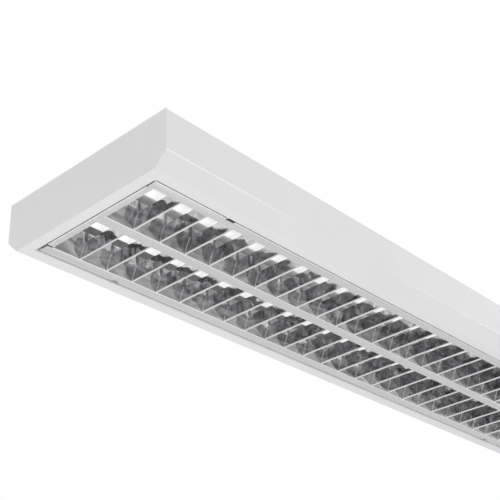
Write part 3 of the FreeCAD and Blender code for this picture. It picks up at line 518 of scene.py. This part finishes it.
def louvre_side(name, flip):
    edge, reach = LOUVRE_Y[name], SIDE_X[name]
    outline = thick(turned_edge(edge) + wing(FLANGE_Y), FOIL)
    obj = louvre_piece(f"louvre_side_{name}_sheet", *along_x(outline, -reach, reach, flip),
                       f"louvre_side_{name}", f"louvre_wall_{name}")
    low, high = LOUVRE_Z - CUT_ROOM, LOUVRE_Z + UPSTAND + CUT_ROOM
    tools = [prism(notch_outline(x, flip, edge + CUT_ROOM, NOTCHES[name]), low, high)
             for x in (-NOTCH_X, NOTCH_X)]
    if name == "far":
        tools += wing_ends(reach + CUT_ROOM)
    take_out(obj, tools)
    finish_sheet(obj, FOLD_RADIUS)


def louvre_spine():
    right = [(-y, z) for y, z in wing(-SPINE_Y)]
    left = [(-y, z) for y, z in reversed(right)]
    outline = thick(left + right, -FOIL)
    obj = louvre_piece("louvre_spine_sheet", *along_x(outline, -CELL_X, CELL_X), "louvre_spine")
    finish_sheet(obj, FOLD_RADIUS)


def blade_side():
    """The right half of a blade's outline, from the middle of its bottom to its top."""
    half = BLADE_FOLD / 2
    path = [(-u, v) for u, v in wall_path(0.0, BLADE_RADIUS, BLADE_SINK, BLADE_RISE, half)]
    return [(u - path[0][0], v) for u, v in path]


def blade_outline(x):
    right = blade_side()
    left = [(-u, v) for u, v in reversed(right)][:-1]
    return [(x + u, v) for u, v in thick(left + right, -BLADE_FOIL)]


def blade_tabs(x, flip):
    """The four tabs by which a blade goes through the mirror walls."""
    outline = thick([p for p in blade_side() if TAB_LOW < p[1] < TAB_HIGH], -BLADE_FOIL)
    low, high = wall_limits(TAB_LOW)
    parts = []
    for side, reach in enumerate((low - TAB_REACH, high + TAB_REACH)):
        for turn in (-1, 1):
            start = raised((x + turn * u, flip * wall_limits(v)[side], v) for u, v in outline)
            end = raised((x + turn * u, flip * reach, v) for u, v in outline)
            parts.append(bridged([start, end]))
    return parts


def blade_lips(x, flip):
    """The turned edges at a blade's ends, where it meets the mirror walls, in the near-white painted
    highlight of the folds.
    """
    face = [p for p in blade_side() if p[1] > BLADE_HIGHLIGHT_BAND]
    parts = []
    for side, inward in enumerate((1, -1)):
        for turn in (-1, 1):
            loops = []
            for u, v in face:
                start = wall_limits(v)[side] - inward * LIP_ROOT / 2
                end = start + inward * LIP_WIDTH
                root, front = u - LIP_ROOT, u + LIP_DEPTH
                corners = ((root, start), (front, start), (front, end), (root, end))
                loops.append(raised((x + turn * out, flip * y, v) for out, y in corners))
            parts.append(bridged(loops))
    return parts


def louvre_blades(name, flip):
    step = CELL_X * 2 / (BLADE_COUNT + 1)
    parts, lips = [], []
    for i in range(BLADE_COUNT):
        x = step * (i + 1) - CELL_X
        parts.append(across_row(blade_outline(x), flip))
        parts += blade_tabs(x, flip)
        lips += blade_lips(x, flip)
    sheet_faces = sum(len(faces) for verts, faces in parts)
    obj = louvre_piece(f"louvre_blades_{name}_sheets", *merged(parts + lips),
                       f"louvre_blades_{name}")
    finish_sheet(obj, BLADE_HIGHLIGHT_BAND)
    # The lips take the fold finish, a painted highlight
    for polygon in obj.data.polygons[sheet_faces:]:
        polygon.material_index = FOLD_HIGHLIGHT_SLOT


def louvre_end(name, end):
    """An end strip, its reach towards the near side, and a wall in each row and at the spine."""
    wall = wall_path(CELL_X, BLADE_RADIUS, BLADE_SINK, BLADE_RISE, FOLD_RADIUS)
    strip = thick(turned_edge(LOUVRE_X) + [wall[0]], FOIL)
    flat_end = LOUVRE_X - FOLD_RADIUS + TOUCH
    flat = [(x, z) for x, z in strip if z <= FOIL + TOUCH and x < flat_end]
    wall = thick(wall, FOIL)
    foot = wall[:FOLD_STEPS + 1] + wall[-FOLD_STEPS - 1:]
    strip, flat, wall, foot = [[(end * x, z) for x, z in path]
                               for path in (strip, flat, wall, foot)]
    reach = FLANGE_Y - BLADE_GAP - wing_lean(UPSTAND)
    spine = SPINE_Y + BLADE_GAP
    parts = [along_y(strip, -reach, reach), along_y(flat, BLADE_GAP - FLANGE_Y, -reach)]
    parts += [across_row(wall, flip) for flip in (-1, 1)]
    parts.append(along_y(foot, -spine, spine))
    obj = louvre_piece(f"louvre_{name}_end_sheet", *merged(parts), f"louvre_{name}_end")
    finish_sheet(obj, FOLD_RADIUS)


for name, flip in (("near", -1), ("far", 1)):
    louvre_side(name, flip)
    louvre_blades(name, flip)
louvre_spine()
for name, end in (("front", -1), ("rear", 1)):
    louvre_end(name, end)


# Stage, in metres: a pale floor far below, a white world and soft lamps

FLOOR_Z = -3.2
FLOOR_SIZE = 400.0
WORLD_LIGHT = 0.81
SEEN_LIGHT = 1.0

# Name, place, target, size and power in watts; the first two stand above the rim's level, so
# that the mirrors don't show them
LAMPS = (
    ("soft_side", (-0.9, -3.0, 0.9), (0.0, 0, -0.04), (2.4, 1.8), 10.0),
    ("edge_light", (0.9, -0.85, 0.05), (0.4, -0.15, -0.04), (0.35, 0.15), 1.7),
    ("soft_below", (-0.4, 0, -2.6), (0, 0, -0.05), (4.4, 4.4), 52.0),
)

half = FLOOR_SIZE / 2
corners = [(x * half, y * half, FLOOR_Z) for x, y in ((-1, -1), (1, -1), (1, 1), (-1, 1))]
floor_mesh = bpy.data.meshes.new("floor")
floor_mesh.from_pydata(corners, [], [(0, 1, 2, 3)])
floor = bpy.data.objects.new("floor", floor_mesh)
bpy.context.scene.collection.objects.link(floor)
floor_material, tree, shader = new_material("pale_floor", Roughness=0.8)
tint(tree, noise(tree, scale=3), dark=grey(0.62), light=grey(0.64),
     socket=shader.inputs["Base Color"])
floor_mesh.materials.append(floor_material)

world = bpy.data.worlds.new("studio")
bpy.context.scene.world = world
world.use_nodes = True
tree = world.node_tree
background = tree.nodes["Background"]
background.inputs["Color"].default_value = (1, 1, 1, 1)
path = tree.nodes.new("ShaderNodeLightPath")
seen = path.outputs["Is Camera Ray"]
for ray in ("Is Glossy Ray", "Is Transmission Ray"):
    seen = number(tree, "MAXIMUM", seen, path.outputs[ray])
strength = mapped(tree, seen, (0, 1), WORLD_LIGHT, SEEN_LIGHT)
tree.links.new(strength, background.inputs["Strength"])

for name, place, target, size, power in LAMPS:
    light = bpy.data.lights.new(name, "AREA")
    light.shape = "RECTANGLE"
    light.size, light.size_y = size
    light.energy = power
    obj = bpy.data.objects.new(name, light)
    obj.location = place
    obj.rotation_mode = "QUATERNION"
    obj.rotation_quaternion = (Vector(target) - Vector(place)).to_track_quat("-Z", "Y")
    bpy.context.scene.collection.objects.link(obj)


# Camera at the photograph's viewing angle

CAMERA_PLACE = (-1.3229, -0.8862, -0.7831)
CAMERA_RIGHT = (0.672, -0.739, -0.0443)
CAMERA_FORWARD = (0.654, 0.565, 0.504)

forward = Vector(CAMERA_FORWARD).normalized()
right = Vector(CAMERA_RIGHT)
right = (right - forward * right.dot(forward)).normalized()
up = right.cross(forward)
turn = Matrix((right, up, -forward)).transposed().to_4x4()
camera_data = bpy.data.cameras.new("camera")
camera_data.sensor_width = 36.0
camera_data.lens = 77.14
camera_data.shift_x = -0.017
camera_data.shift_y = -0.010
camera_data.clip_end = 100.0
camera = bpy.data.objects.new("camera", camera_data)
camera.matrix_world = Matrix.Translation(CAMERA_PLACE) @ turn
bpy.context.scene.collection.objects.link(camera)
bpy.context.scene.camera = camera

bpy.context.scene.view_settings.view_transform = "Standard"
